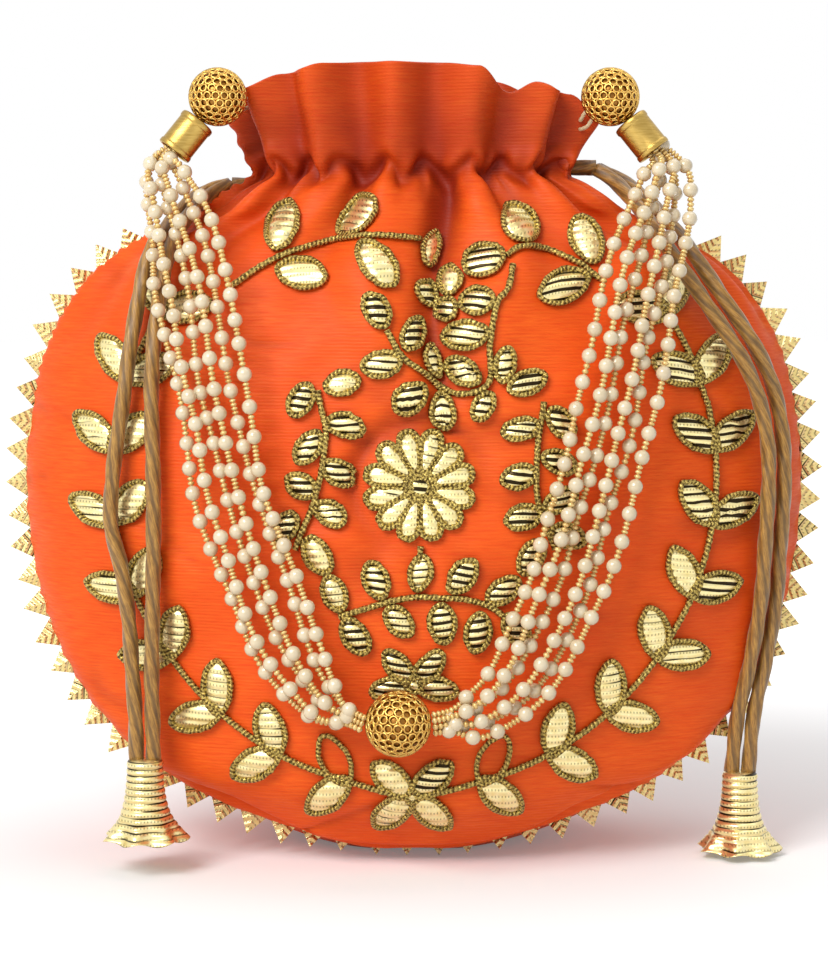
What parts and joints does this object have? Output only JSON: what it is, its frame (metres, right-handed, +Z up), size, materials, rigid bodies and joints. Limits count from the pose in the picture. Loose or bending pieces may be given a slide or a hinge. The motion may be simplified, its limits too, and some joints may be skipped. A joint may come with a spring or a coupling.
{
  "type": "potli bag",
  "caption": "Round drawstring pouch of orange silk with gold leaf work on the front, a pointed gold edge trim, drawcords with bell tassels and a pearl-strand handle.",
  "frame": {"origin": "on the floor under the edge seam, in the middle of the pouch", "axes": "+X to the right seen from the front, +Y from the decorated front to the back, +Z up"},
  "size_m": [0.2324, 0.1247, 0.2194],
  "materials": {
    "silk": "orange dupion silk with a soft sheen",
    "lining": "plain orange cloth",
    "gota": "ribbed metallic gold ribbon",
    "satin_cord": "braided gold satin",
    "brass": "openwork and brushed brass",
    "pearl": "glossy cream pearl",
    "thread": "cream thread"
  },
  "bodies": {
    "bag": {"front_panel": "silk", "back_panel": "silk", "edge_trim": "gota", "casing_band": "lining", "drawcord_left": "satin_cord", "drawcord_right": "satin_cord", "bell_tassel_left": "gota", "bell_tassel_right": "gota", "side_spray_left": "gota", "side_spray_right": "gota", "lower_spray": "gota", "top_cluster": "gota", "top_spray_left": "gota", "top_spray_right": "gota", "wreath_left": "gota", "wreath_right": "gota", "centre_flower": "gota", "ball_flower": "gota", "bottom_flower": "gota", "tie_left": "thread", "tie_right": "thread"},
    "handle": {"handle_ball": "brass", "bead_left": "brass", "bead_right": "brass", "cap_left": "brass", "cap_right": "brass", "pearl_strand_left_1": "pearl", "pearl_strand_left_2": "pearl", "pearl_strand_left_3": "pearl", "pearl_strand_left_4": "pearl", "pearl_strand_left_5": "pearl", "pearl_strand_left_6": "pearl", "pearl_strand_right_1": "pearl", "pearl_strand_right_2": "pearl", "pearl_strand_right_3": "pearl", "pearl_strand_right_4": "pearl", "pearl_strand_right_5": "pearl", "pearl_strand_right_6": "pearl"}
  },
  "joints": [
    {"name": "handle_swing", "type": "hinge", "parent": "bag", "child": "handle", "pos_m": [0, -0.0225, 0.21], "axis": [-1, 0, 0], "range_deg": [0, 160]}
  ]
}
